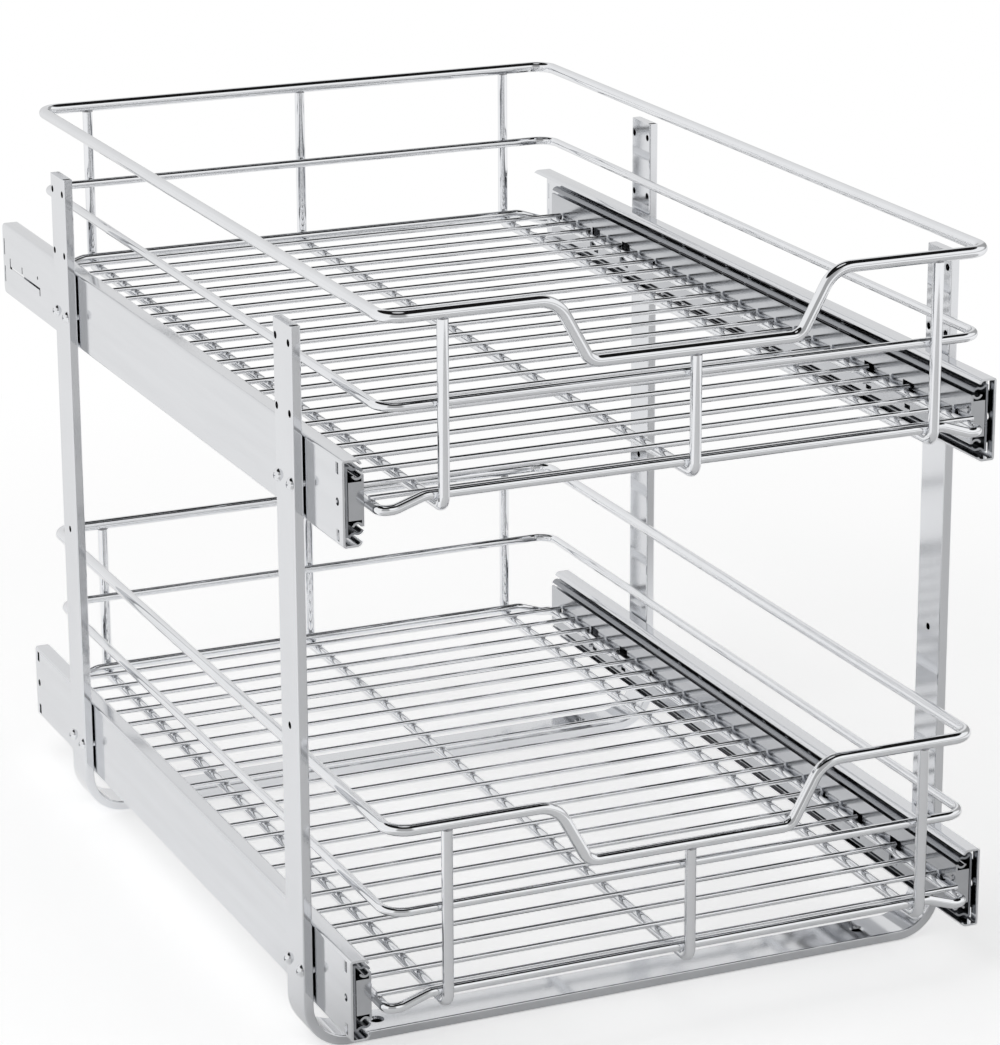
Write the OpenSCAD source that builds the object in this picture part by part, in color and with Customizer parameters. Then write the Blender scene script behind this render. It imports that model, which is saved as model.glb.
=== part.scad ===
// Pull out cabinet basket: two bent tube frames carry four ball bearing
// slides, and each pair of slides carries one wire basket.
// X is the width, Y runs back into the cabinet, Z is up, in millimetres.
// The origin is the middle of the four floor screw holes, on the cabinet floor.

/* [Frames] */
// Overall width across the outer faces of the uprights
frame_w = 381; // [250:1:600]
// Height of the uprights above the cabinet floor
frame_h = 393; // [370:1:560]
// Distance from the front frame to the rear frame, face to face
frame_pitch = 366; // [200:1:420]
// Wide side of the flat rectangular tube
tube_w = 25; // [20:0.5:40]
// Narrow side of the flat rectangular tube
tube_t = 5.5; // [5:0.5:10]
// Wall of the tube
tube_wall = 1.2; // [0.8:0.1:2]
// Rounding of the tube's long edges
tube_edge = 0.9; // [0.3:0.1:1.1]
// Outside radius of the two bottom bends
bend_r = 25; // [15:1:35]
// Width of the open slot in front of the folded top tab
tab_slot = 2.2; // [0.8:0.1:3]
// Distance of each floor screw hole from the middle of the floor bar
floor_hole_x = 145; // [80:1:150]
// Diameter of the floor screw holes
floor_hole_d = 5; // [3:0.5:7]
// Diameter of the countersink of a floor screw hole
floor_sink_d = 8.4; // [6:0.2:12]

/* [Height adjustment] */
// Height of the middle of the lower slides above the floor
lower_slide_z = 49; // [40:1:80]
// Height of the middle of the upper slides above the floor
upper_slide_z = 314.5; // [200:0.5:340]
// Step between the hole pairs in the uprights
hole_step = 36.5; // [25:0.5:60]
// Number of spare hole pairs above the upper slides
spare_pairs = 2; // [0:1:3]
// Distance between the two holes of a pair
pair_gap = 18; // [10:0.5:19]
// Height of the single hole at the middle of an upright
single_hole_z = 179; // [120:1:220]
// Diameter of the holes in the uprights
hole_d = 3.9; // [3:0.1:5]

/* [Screws] */
// Distance of the screws below the middle of the slide
screw_drop = 3.5; // [0:0.5:8]
// Diameter of the dome head
head_d = 7; // [5:0.2:8]
// Height of the dome head
head_h = 2.6; // [1.2:0.1:3]
// Diameter of the screw shank
shank_d = 3.6; // [2.5:0.1:4.8]

/* [Slides] */
// Gap between an upright and the slide, kept by collars round the screws
stand_off = 0.6; // [0.2:0.1:2]
// Length of the slide members
slide_l = 533; // [450:1:600]
// Distance of the outer member's front end ahead of the front frame
slide_lead = 51.5; // [20:0.5:60]
// Extra length of the upper outer members at the rear
upper_tail = 33; // [10:1:60]
// Height of the outer member
slide_h = 45; // [40:0.5:60]
// Thickness of the whole slide
slide_t = 12.7; // [12.5:0.1:16]
// Sheet thickness of the three members
sheet = 1.2; // [1:0.1:1.4]
// Distance of the moving members' front ends behind the outer member's end
set_back = 3.5; // [1:0.5:8]
// Diameter of the bearing balls
ball_d = 4; // [3.6:0.1:4.2]
// Clearance between a ball and its races
race_gap = 0.12; // [0.05:0.01:0.2]
// Balls in each row
ball_n = 9; // [4:1:12]
// Sheet thickness of the ball retainers
cage_t = 0.6; // [0.4:0.1:0.8]
// Outer web to ball row between the outer and intermediate members
row_a_u = 7.2; // [6.5:0.1:8]
// Sideways offset of the ball row between the intermediate and inner members
row_b_shift = 2; // [1:0.1:2.4]
// Full travel of a basket
travel = 530; // [300:1:540]

/* [Basket] */
// Length of a basket between the rim's front and rear wires
basket_l = 550; // [450:1:620]
// Distance of the rim's front wire ahead of the front frame
basket_lead = 68; // [40:1:80]
// Distance between the rim's side wire and the face of the inner member
rim_gap = 4; // [3.4:0.1:20]
// Height of the rim above the long floor wires
rim_rise = 98.5; // [60:0.5:150]
// Height of the middle ring above the long floor wires
ring_rise = 52; // [30:0.5:80]
// Long floor wires below the middle of the slide
floor_drop = 2.25; // [0:0.25:6]
// Diameter of the rim wire
rim_d = 6.4; // [5:0.2:8]
// Diameter of the middle ring wire
ring_d = 5; // [4:0.2:7]
// Diameter of the bottom frame wire
rail_d = 5.5; // [4:0.1:5.8]
// Diameter of the long U shaped wires
long_d = 6; // [5:0.2:7]
// Diameter of the cross wires
cross_d = 3; // [2:0.1:5]
// Number of cross wires in one basket
cross_n = 24; // [8:1:30]
// Distance of the two outer long wires from the middle
long_x = 137.5; // [80:0.5:150]
// Depth by which welded wires sink into each other
weld = 0.15; // [0.05:0.05:0.3]
// Corner radius of the rim, measured to the wire's middle
corner_r = 12; // [8:1:25]
// Half width of the scoop at the rim's level
scoop_top = 77; // [50:1:90]
// Half width of the scoop's level bottom
scoop_foot = 58.5; // [35:0.5:65]
// Depth of the scoop
scoop_drop = 33.5; // [15:0.5:42]
// Bend radius of the scoop's two upper bends
scoop_top_r = 17; // [8:1:20]
// Bend radius of the scoop's two lower bends
scoop_r = 9; // [6:1:14]
// Bend radius of the bottom frame's four corners
rail_r = 4.5; // [4:0.5:12]
// Straight wire between a corner of the bottom frame and the slope beside it
dip_gap = 3; // [2.6:0.2:8]
// Length over which the bottom rail comes down to the side wires
dip_l = 16; // [10:0.5:20]
// Bend radius at both ends of that slope
dip_r = 14; // [6:1:14]
// Length of the lanced tabs that hold the basket's side wires
clip_l = 11; // [8:1:24]
// Depth of the lip on a lanced tab above its shelf
clip_lip = 3; // [1:0.5:4]
// Distance from either end of the inner member to its nearest tab
clip_first = 67; // [40:1:120]
// Distance between the two tabs at each end
clip_step = 43; // [30:1:80]

/* [Node] */
// Sub-part to build, or all of them

/* [Hidden] */
$fn = 48;
eps = 0.01;
a = frame_w / 2;
face_x = a - tube_t - stand_off;
pair_y = [(tube_w - pair_gap) / 2, (tube_w + pair_gap) / 2];
front_face = -(frame_pitch + tube_w) / 2;
frame_y = [front_face, front_face + frame_pitch];
ball_r = ball_d / 2;
race_r = ball_r + race_gap;
back_r = race_r + sheet;
mid_r = race_r + sheet / 2;
row_a_w = slide_h / 2 - back_r;
row_b_u = row_a_u + row_b_shift;
row_step = 2 * race_r + sheet;
row_b_w = row_a_w - sqrt(row_step * row_step - row_b_shift * row_b_shift);
cage_a_u = sheet + 0.5;
inter_u = cage_a_u + cage_t + 0.5;
cage_b_u = inter_u + sheet + 0.5;
inner_u = slide_t - sheet;
inner_face_x = face_x - slide_t;
out_front = front_face - slide_lead;
mov_front = out_front + set_back;
mov_rear = out_front + slide_l;
half_travel = travel / 2;
quarter_travel = travel / 4;
cage_front = out_front + quarter_travel + 6;
cage_rear = mov_rear - quarter_travel - 6;
ball_pitch = (cage_rear - cage_front) / ball_n;
floor_z = -floor_drop;
cross_z = floor_z + long_d / 2 + cross_d / 2 - weld;
side_z = cross_z - cross_d / 2 - rail_d / 2 + weld;
rail_z = floor_z + long_d / 2 + rail_d / 2 - weld;
rim_z = floor_z + rim_rise;
ring_z = floor_z + ring_rise;
rim_x = inner_face_x - rim_gap;
side_x = inner_face_x - rail_d / 2 - 0.05;
front_y = front_face - basket_lead;
rear_y = front_y + basket_l;
rail_in = long_d / 2 + rail_d / 2 - weld;
ring_in = long_d / 2 + ring_d / 2 - weld;
long_r = rail_in + 0.35;
cross_end = inner_face_x - 1.3;
cross_y0 = front_y + 16.2;
cross_step = (basket_l - 2 * 16.2) / (cross_n - 1);
dip_x1 = side_x - rail_r - dip_gap;
dip_x0 = dip_x1 - dip_l;
clip_y = [mov_front + clip_first, mov_front + clip_first + clip_step,
          mov_rear - clip_first - clip_step, mov_rear - clip_first];
tier_z = [lower_slide_z, upper_slide_z];
screw_z = [for (z = tier_z) z - screw_drop];

// ---------- frames ----------

// Rounded rectangle with one corner at the origin
module round_rect(w, h, r) {
    translate([r, 0]) square([w - 2 * r, h]);
    translate([0, r]) square([w, h - 2 * r]);
    for (x = [r, w - r]) {
        for (y = [r, h - r]) {
            translate([x, y]) circle(r);
        }
    }
}

// Section of the tube: x runs from the outer face inwards, y is the depth
module tube_section(inset) {
    translate([inset, inset])
        round_rect(tube_t - 2 * inset, tube_w - 2 * inset, max(tube_edge - inset * 0.5, 0.3));
}

// One upright with its bend and half of the floor bar, on the left side
module half_u(inset, top) {
    translate([-a, 0, bend_r])
        linear_extrude(top - bend_r) tube_section(inset);
    translate([-a + bend_r, tube_w, bend_r])
        rotate([90, 0, 0])
            rotate([0, 0, 180])
                rotate_extrude(angle = 90)
                    translate([bend_r, 0]) mirror([1, 0]) tube_section(inset);
    translate([-a + bend_r, 0, 0])
        rotate([0, 90, 0])
            linear_extrude(a - bend_r)
                mirror([1, 0]) tube_section(inset);
}

module u_tube(inset, top) {
    half_u(inset, top);
    mirror([1, 0, 0]) half_u(inset, top);
}

module upright_hole(y, z) {
    for (s = [-1, 1]) {
        translate([s * (a + 1), y, z])
            rotate([0, -s * 90, 0])
                cylinder(d = hole_d, h = tube_t + 2);
    }
}

module frame(y) {
    translate([0, y, 0]) {
        difference() {
            u_tube(0, frame_h);
            u_tube(tube_wall, frame_h - tube_wall);
            // slot left open in front of the folded top tab
            for (s = [-1, 1]) {
                translate([s * (a - tube_t / 2), tube_wall + tab_slot / 2, frame_h - tube_wall / 2])
                    cube([tube_t - tube_wall, tab_slot, tube_wall + 2], center = true);
            }
            for (p = pair_y) {
                for (z = screw_z) upright_hole(p, z);
                for (k = [1 : 1 : spare_pairs]) upright_hole(p, screw_z[1] + k * hole_step);
            }
            upright_hole(tube_w / 2, single_hole_z);
            for (s = [-1, 1]) {
                translate([s * floor_hole_x, tube_w / 2, -1])
                    cylinder(d = floor_hole_d, h = tube_t + 2);
                translate([s * floor_hole_x, tube_w / 2, tube_t - (floor_sink_d - floor_hole_d) / 2])
                    cylinder(d1 = floor_hole_d, d2 = floor_sink_d + 0.02,
                             h = (floor_sink_d - floor_hole_d) / 2 + eps);
            }
        }
    }
}

module front_frame() { color([0.82, 0.83, 0.85]) frame(frame_y[0]); }
module rear_frame() { color([0.82, 0.83, 0.85]) frame(frame_y[1]); }

// ---------- screws ----------

// Dome head screw that points to +x, with its head's seat at x = 0
module dome_screw() {
    dome_r = (head_d * head_d / 4 + head_h * head_h) / (2 * head_h);
    rotate([0, 90, 0]) {
        cylinder(d = shank_d, h = tube_t + stand_off + sheet);
        difference() {
            intersection() {
                translate([0, 0, dome_r - head_h]) sphere(dome_r);
                translate([0, 0, -head_h - 1]) cylinder(d = head_d + 2, h = head_h + 1);
            }
            for (t = [0, 90]) {
                rotate([0, 0, t])
                    translate([0, 0, -head_h])
                        cube([3.2, 0.7, 1.6], center = true);
            }
        }
    }
}

module slide_screws() {
    color([0.86, 0.87, 0.89])
        for (s = [-1, 1], f = frame_y, p = pair_y, z = screw_z) {
            translate([s * a, f + p, z])
                rotate([0, 0, s < 0 ? 0 : 180])
                    dome_screw();
        }
}

// ---------- slide sections ----------
// u runs from the outer member's back to the basket, w is up

// Part of a ring between two angles
module ring_part(r0, r1, a0, a1) {
    intersection() {
        difference() {
            circle(r1);
            circle(r0);
        }
        polygon(concat([[0, 0]],
            [for (k = [0 : 4]) 3 * r1 * [cos(a0 + (a1 - a0) * k / 4), sin(a0 + (a1 - a0) * k / 4)]]));
    }
}

module both_halves() {
    children();
    mirror([0, 1]) children();
}

module outer_section() {
    both_halves() {
        square([sheet, slide_h / 2 - 1.5]);
        translate([1.5, slide_h / 2 - sheet]) square([row_a_u - 1.5, sheet]);
        translate([1.5, slide_h / 2 - 1.5]) ring_part(1.5 - sheet, 1.5, 90, 180);
        translate([row_a_u, row_a_w]) ring_part(race_r, back_r, 15, 90);
    }
}

module intermediate_section() {
    both_halves() {
        difference() {
            union() {
                translate([inter_u, 0]) square([sheet, row_a_w - 0.95]);
                translate([inter_u, row_a_w - 0.95 - sheet])
                    square([row_a_u - 2.2 - inter_u, sheet]);
                translate([row_a_u, row_a_w]) ring_part(race_r, back_r, 202, 295);
                translate([row_b_u, row_b_w]) ring_part(race_r, back_r, 20, 115);
            }
            translate([row_a_u, row_a_w]) circle(race_r);
            translate([row_b_u, row_b_w]) circle(race_r);
        }
    }
}

module inner_section() {
    both_halves() {
        translate([inner_u, 0]) square([sheet, row_b_w - 0.75]);
        translate([row_b_u, row_b_w]) ring_part(race_r, back_r, 202, 340);
    }
}

// C shaped retainer whose legs reach round the ball rows
module retainer_section(u0, row_u, row_w) {
    both_halves() {
        translate([u0, 0]) square([cage_t, row_w + cage_t / 2]);
        translate([u0, row_w - cage_t / 2])
            square([row_u + ball_r + 0.4 - u0, cage_t]);
    }
}

// Extrudes a section from y0 to y1
module run(y0, y1) {
    translate([0, y1, 0]) rotate([90, 0, 0]) linear_extrude(y1 - y0) children();
}

// Moves a slide drawn in u, y, w to its place; side is -1 left and 1 right
module at_slide(side, zc) {
    translate([side * face_x, 0, zc])
        if (side < 0) {
            children();
        } else {
            mirror([1, 0, 0]) children();
        }
}

// Cuts a hole through a web whose outer face is at u
module web_hole(u, y, w, d) {
    translate([u - 1, y, w]) rotate([0, 90, 0]) cylinder(d = d, h = sheet + 2);
}

// Cuts a rectangular slot through a web whose outer face is at u
module web_slot(u, y, w, len_y, len_w) {
    translate([u - 1, y - len_y / 2, w - len_w / 2]) cube([sheet + 2, len_y, len_w]);
}

// Rounds the rear end of a slide in its side view
module round_end(y, r) {
    for (s = [-1, 1]) {
        difference() {
            translate([-1, y - r, s > 0 ? slide_h / 2 - r : -slide_h / 2 - 1])
                cube([slide_t + 2, r + 1, r + 1]);
            translate([-2, y - r, s * (slide_h / 2 - r)])
                rotate([0, 90, 0]) cylinder(r = r, h = slide_t + 4);
        }
    }
}

module outer_member(tail) {
    rear = mov_rear + tail;
    slot_w = slide_h / 2 - 5.2;
    ends = tail > 0 ? [out_front + 7] : [out_front + 7, rear - 6];
    difference() {
        union() {
            run(out_front, rear) outer_section();
            // drawn collars that hold the screws and rest on the uprights
            for (f = frame_y, p = pair_y) {
                translate([0.2, f + p, -screw_drop])
                    rotate([0, -90, 0]) cylinder(d = shank_d + 2, h = stand_off + 0.2);
            }
        }
        for (y = ends) {
            web_hole(0, y, 0, 4.2);
            for (s = [-1, 1]) web_slot(0, y, s * slot_w, 3.6, 6);
        }
        for (f = frame_y, p = pair_y) web_hole(0, f + p, -screw_drop, shank_d);
        if (tail > 0) {
            round_end(rear, 5);
            for (s = [-1, 1]) web_slot(0, rear - 3, s * 8.5 - 1, 1.4, 10);
            web_slot(0, rear - 44, -3.5, 61, 1.4);
            web_slot(0, rear - 13.5 - 0.7, -1, 1.4, 6.4);
            web_slot(0, rear - 74.5 + 0.7, -5.3, 1.4, 5);
            web_slot(0, rear - 38.5, 0, 1.4, 4);
            web_hole(0, rear - 70, 2.5, 2);
        }
    }
}

module intermediate_member() {
    difference() {
        run(mov_front, mov_rear) intermediate_section();
        for (y = [mov_front + 40, (mov_front + mov_rear) / 2, mov_rear - 40])
            web_hole(inter_u, y, 0, 8);
    }
}

module inner_member() {
    clip_w = side_z - rail_d / 2 - 0.05;
    lip_u = slide_t + rail_d + 0.1;
    difference() {
        union() {
            run(mov_front, mov_rear) inner_section();
            // front plate bent across the end of the slide
            translate([inter_u + sheet + 0.4, mov_front, -(row_b_w - back_r - 0.9)])
                cube([inner_u - inter_u - sheet - 0.4 + eps, sheet, 2 * (row_b_w - back_r - 0.9)]);
            // pressed catch bump beside the front plate
            translate([slide_t - 0.2, mov_front + 3.4, 4.8])
                rotate([0, 90, 0]) cylinder(d1 = 4.4, d2 = 2.8, h = 1.2);
            // lanced tabs that hold the side wires of the basket
            for (y = clip_y) {
                translate([slide_t - sheet, y - clip_l / 2, clip_w - sheet])
                    cube([lip_u - slide_t + 2 * sheet, clip_l, sheet]);
                translate([lip_u, y - clip_l / 2, clip_w - eps])
                    cube([sheet, clip_l, clip_lip]);
            }
        }
        // openings that the tabs were bent out of, and a relief below each
        for (y = clip_y) {
            web_slot(inner_u, y, clip_w + 4.5, clip_l, 9);
            web_slot(inner_u, y, clip_w - 5.2, 6, 2.4);
        }
        for (y = [mov_front + 15, mov_front + 150, mov_rear - 150, mov_rear - 15])
            web_hole(inner_u, y, 0, 4);
    }
}

module retainer(u0, row_u, row_w) {
    difference() {
        run(cage_front, cage_rear) retainer_section(u0, row_u, row_w);
        for (s = [-1, 1], k = [0 : ball_n - 1]) {
            translate([row_u, cage_front + (k + 0.5) * ball_pitch, s * row_w - 1])
                cylinder(d = ball_d + 0.06, h = 2);
        }
    }
}

module ball_rows(row_u, row_w) {
    for (s = [-1, 1], k = [0 : ball_n - 1]) {
        translate([row_u, cage_front + (k + 0.5) * ball_pitch, s * row_w]) sphere(ball_r);
    }
}

module outer_retainer() { retainer(cage_a_u, row_a_u, row_a_w); }
module inner_retainer() { retainer(cage_b_u, row_b_u, row_b_w); }

module outer_balls(zc) {
    for (side = [-1, 1]) at_slide(side, zc) ball_rows(row_a_u, row_a_w);
}

module inner_balls(zc) {
    for (side = [-1, 1]) at_slide(side, zc) ball_rows(row_b_u, row_b_w);
}

steel = [0.80, 0.81, 0.83];
dark_steel = [0.62, 0.64, 0.67];
ball_steel = [0.9, 0.91, 0.93];

module lower_outer_left() { color(steel) at_slide(-1, tier_z[0]) outer_member(0); }
module lower_outer_right() { color(steel) at_slide(1, tier_z[0]) outer_member(0); }
module upper_outer_left() { color(steel) at_slide(-1, tier_z[1]) outer_member(upper_tail); }
module upper_outer_right() { color(steel) at_slide(1, tier_z[1]) outer_member(upper_tail); }
module lower_intermediate_left() { color(dark_steel) at_slide(-1, tier_z[0]) intermediate_member(); }
module lower_intermediate_right() { color(dark_steel) at_slide(1, tier_z[0]) intermediate_member(); }
module upper_intermediate_left() { color(dark_steel) at_slide(-1, tier_z[1]) intermediate_member(); }
module upper_intermediate_right() { color(dark_steel) at_slide(1, tier_z[1]) intermediate_member(); }
module lower_inner_left() { color(steel) at_slide(-1, tier_z[0]) inner_member(); }
module lower_inner_right() { color(steel) at_slide(1, tier_z[0]) inner_member(); }
module upper_inner_left() { color(steel) at_slide(-1, tier_z[1]) inner_member(); }
module upper_inner_right() { color(steel) at_slide(1, tier_z[1]) inner_member(); }
module lower_outer_retainer_left() { color(dark_steel) at_slide(-1, tier_z[0]) outer_retainer(); }
module lower_outer_retainer_right() { color(dark_steel) at_slide(1, tier_z[0]) outer_retainer(); }
module upper_outer_retainer_left() { color(dark_steel) at_slide(-1, tier_z[1]) outer_retainer(); }
module upper_outer_retainer_right() { color(dark_steel) at_slide(1, tier_z[1]) outer_retainer(); }
module lower_inner_retainer_left() { color(dark_steel) at_slide(-1, tier_z[0]) inner_retainer(); }
module lower_inner_retainer_right() { color(dark_steel) at_slide(1, tier_z[0]) inner_retainer(); }
module upper_inner_retainer_left() { color(dark_steel) at_slide(-1, tier_z[1]) inner_retainer(); }
module upper_inner_retainer_right() { color(dark_steel) at_slide(1, tier_z[1]) inner_retainer(); }
module lower_outer_balls() { color(ball_steel) outer_balls(tier_z[0]); }
module upper_outer_balls() { color(ball_steel) outer_balls(tier_z[1]); }
module lower_inner_balls() { color(ball_steel) inner_balls(tier_z[0]); }
module upper_inner_balls() { color(ball_steel) inner_balls(tier_z[1]); }

// ---------- bent wire ----------

function unit2(v) = v / norm(v);
function turn(p, i) =
    let (u = unit2(p[i] - p[i - 1]), v = unit2(p[i + 1] - p[i]))
    atan2(u[0] * v[1] - u[1] * v[0], u[0] * v[0] + u[1] * v[1]);
function at(r, i) = is_list(r) ? r[i] : r;
function trim(p, i, r) = (i == 0 || i == len(p) - 1) ? 0 : at(r, i) * tan(abs(turn(p, i)) / 2);

// Round wire along a flat open path. r is one bend radius, or a list with one for each point.
// With skip = 1 the first and last straights are left to another wire.
// With a lap the straights are drawn a hair thinner and reach into the bends.
module bent_wire(p, r, d, skip = 0, lap = 0) {
    for (i = [skip : len(p) - 2 - skip]) {
        u = unit2(p[i + 1] - p[i]);
        from = p[i] + u * (trim(p, i, r) - lap);
        to = p[i + 1] - u * (trim(p, i + 1, r) - lap);
        translate([from[0], from[1], 0])
            rotate([0, 90, atan2(u[1], u[0])])
                cylinder(d = lap > 0 ? d - 0.06 : d, h = norm(to - from));
    }
    for (i = [1 : 1 : len(p) - 2]) {
        u = unit2(p[i] - p[i - 1]);
        t = turn(p, i);
        side = t > 0 ? 1 : -1;
        start = p[i] - u * trim(p, i, r);
        centre = start + side * at(r, i) * [-u[1], u[0]];
        first = atan2(start[1] - centre[1], start[0] - centre[0]);
        translate([centre[0], centre[1], 0])
            rotate([0, 0, t > 0 ? first : first + t])
                rotate_extrude(angle = abs(t))
                    translate([at(r, i), 0]) circle(d / 2);
    }
}

// ---------- basket ----------

module rim() {
    scoop = [[-rim_x, 0], [-scoop_top, 0], [-scoop_foot, -scoop_drop],
             [scoop_foot, -scoop_drop], [scoop_top, 0], [rim_x, 0]];
    radii = [0, scoop_top_r, scoop_r, scoop_r, scoop_top_r, 0];
    end_x = scoop_top + trim(scoop, 1, radii);
    // ring, open where the scoop is
    translate([0, 0, rim_z])
        bent_wire([[-end_x, front_y], [-rim_x, front_y], [-rim_x, rear_y],
                   [rim_x, rear_y], [rim_x, front_y], [end_x, front_y]], corner_r, rim_d, 0, 0.5);
    // scoop in the front
    translate([0, front_y, rim_z])
        rotate([90, 0, 0]) bent_wire(scoop, radii, rim_d, 1, 0.5);
}

module middle_ring() {
    y0 = front_y + ring_in;
    y1 = rear_y - ring_in;
    translate([0, 0, ring_z]) {
        bent_wire([[0, y0], [-rim_x, y0], [-rim_x, y1], [0, y1]], corner_r, ring_d);
        mirror([1, 0, 0])
            bent_wire([[0, y0], [-rim_x, y0], [-rim_x, y1], [0, y1]], corner_r, ring_d);
    }
}

module bottom_frame() {
    y0 = front_y + rail_in;
    y1 = rear_y - rail_in;
    rail = [[-side_x, side_z], [-dip_x1, side_z], [-dip_x0, rail_z],
            [dip_x0, rail_z], [dip_x1, side_z], [side_x, side_z]];
    end_x = dip_x1 + trim(rail, 1, dip_r);
    for (s = [-1, 1]) {
        translate([0, 0, side_z])
            bent_wire([[s * end_x, y0], [s * side_x, y0], [s * side_x, y1], [s * end_x, y1]],
                      rail_r, rail_d, 0, 0.5);
    }
    // front and rear rails, which come down to the side wires at both ends
    for (y = [y0, y1]) {
        translate([0, y, 0]) rotate([90, 0, 0]) bent_wire(rail, dip_r, rail_d, 1, 0.5);
    }
}

// One long wire; its top ends butt against the rim above
module long_wire(x, front_top) {
    rear_top = rim_z - rim_d / 2 + weld;
    translate([x, 0, 0])
        rotate([90, 0, 90])
            bent_wire([[front_y, front_top], [front_y, floor_z], [rear_y, floor_z],
                       [rear_y, rear_top]], long_r, long_d);
}

module long_wires() {
    rim_top = rim_z - rim_d / 2 + weld;
    for (s = [-1, 1]) long_wire(s * long_x, rim_top);
    long_wire(0, rim_top - scoop_drop);
}

module cross_wires() {
    for (k = [0 : cross_n - 1]) {
        translate([-cross_end, cross_y0 + k * cross_step, cross_z])
            rotate([0, 90, 0]) cylinder(d = cross_d, h = 2 * cross_end);
    }
}

wire = [0.88, 0.89, 0.91];

module in_tier(k) { color(wire) translate([0, 0, tier_z[k]]) children(); }

module lower_rim() { in_tier(0) rim(); }
module lower_middle_ring() { in_tier(0) middle_ring(); }
module lower_bottom_frame() { in_tier(0) bottom_frame(); }
module lower_long_wires() { in_tier(0) long_wires(); }
module lower_cross_wires() { in_tier(0) cross_wires(); }
module upper_rim() { in_tier(1) rim(); }
module upper_middle_ring() { in_tier(1) middle_ring(); }
module upper_bottom_frame() { in_tier(1) bottom_frame(); }
module upper_long_wires() { in_tier(1) long_wires(); }
module upper_cross_wires() { in_tier(1) cross_wires(); }

front_frame();
rear_frame();
slide_screws();
lower_outer_left();
lower_outer_right();
upper_outer_left();
upper_outer_right();
lower_intermediate_left();
lower_intermediate_right();
upper_intermediate_left();
upper_intermediate_right();
lower_inner_left();
lower_inner_right();
upper_inner_left();
upper_inner_right();
lower_outer_retainer_left();
lower_outer_retainer_right();
upper_outer_retainer_left();
upper_outer_retainer_right();
lower_inner_retainer_left();
lower_inner_retainer_right();
upper_inner_retainer_left();
upper_inner_retainer_right();
lower_outer_balls();
upper_outer_balls();
lower_inner_balls();
upper_inner_balls();
lower_rim();
lower_middle_ring();
lower_bottom_frame();
lower_long_wires();
lower_cross_wires();
upper_rim();
upper_middle_ring();
upper_bottom_frame();
upper_long_wires();
upper_cross_wires();
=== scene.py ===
# %% [markdown]
# # Pull out cabinet basket
#
# Two bent tube frames carry four ball bearing slides, and each pair of
# slides carries one wire basket. The hard parts, such as tubes, slides and
# screws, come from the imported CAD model, which is loaded first and never
# moved. This lesson gives them their finishes, and remakes the bent wire with
# Geometry Nodes, because a wire that follows a path is what those do best.

# %% Load the frame
import math

import bpy
from mathutils import Matrix, Vector


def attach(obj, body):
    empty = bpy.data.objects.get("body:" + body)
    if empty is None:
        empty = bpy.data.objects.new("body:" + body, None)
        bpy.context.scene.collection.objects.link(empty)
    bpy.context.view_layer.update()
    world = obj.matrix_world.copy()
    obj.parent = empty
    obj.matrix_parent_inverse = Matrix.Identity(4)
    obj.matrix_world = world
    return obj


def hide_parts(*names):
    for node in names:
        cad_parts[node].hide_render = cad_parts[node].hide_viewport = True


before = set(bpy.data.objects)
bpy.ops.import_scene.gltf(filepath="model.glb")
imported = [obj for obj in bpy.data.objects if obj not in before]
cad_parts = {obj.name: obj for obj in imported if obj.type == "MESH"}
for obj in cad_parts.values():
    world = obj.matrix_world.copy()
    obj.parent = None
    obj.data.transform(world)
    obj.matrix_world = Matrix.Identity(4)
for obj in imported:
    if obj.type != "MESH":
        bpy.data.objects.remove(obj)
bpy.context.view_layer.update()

# %% [markdown]
# ## Sizes of the stand
#
# These are millimetres, as in the part's source. The wires are placed from
# them, and so is the mask for the painted shade inside the tubes.

# %% Sizes of the stand
MM_PER_M = 1000
FRAME_HALF_W, FRAME_H, FRAME_PITCH = 190.5, 393.0, 366.0
TUBE_W, TUBE_T, TUBE_WALL, BEND_R = 25.0, 5.5, 1.2, 25.0
STAND_OFF, SLIDE_T = 0.6, 12.7
SLIDE_Z = {"lower": 49.0, "upper": 314.5}
TIERS = ("lower", "upper")
SIDES = ("left", "right")


def metres(values):
    """Millimetres to metres."""
    return tuple(v / MM_PER_M for v in values)


print("frames", 2 * FRAME_HALF_W, "x", FRAME_H, "mm")


# %% Put things in the scene
def put(name, data):
    """A new object, linked to the scene."""
    thing = bpy.data.objects.new(name, data)
    bpy.context.scene.collection.objects.link(thing)
    return thing


print("put ready")

# %% [markdown]
# ## Camera
#
# The photograph was taken with a long lens from the left, a little above the
# baskets. The values here come from matching about 200 points of it with the
# real sizes of the part: the lens in pixels, the three turns and the place.

# %% Camera
PHOTO_W, PHOTO_H = 1000, 1045
LENS_PX = 3908.9
AZIMUTH, ELEVATION, ROLL = (math.radians(v) for v in (-23.76, 17.53, -0.24))
CAMERA_AT = Vector((-0.8499, -1.9498, 0.8824))
SENSOR_MM = 36
CLIP = (0.05, 60)


def place_camera():
    back = Vector((math.sin(AZIMUTH) * math.cos(ELEVATION),
                   -math.cos(AZIMUTH) * math.cos(ELEVATION), math.sin(ELEVATION)))
    level_right = (-back).cross(Vector((0, 0, 1))).normalized()
    level_up = level_right.cross(-back)
    right = math.cos(ROLL) * level_right + math.sin(ROLL) * level_up
    up = -math.sin(ROLL) * level_right + math.cos(ROLL) * level_up
    data = bpy.data.cameras.new("photo_camera")
    data.sensor_width = SENSOR_MM
    data.lens = LENS_PX / max(PHOTO_W, PHOTO_H) * SENSOR_MM
    data.clip_start, data.clip_end = CLIP
    camera = put("photo_camera", data)
    turn = Matrix((right, up, back)).transposed().to_4x4()
    camera.matrix_world = Matrix.Translation(CAMERA_AT) @ turn
    bpy.context.scene.camera = camera
    return camera


camera = place_camera()
print("lens", round(camera.data.lens, 1), "mm")

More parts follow.
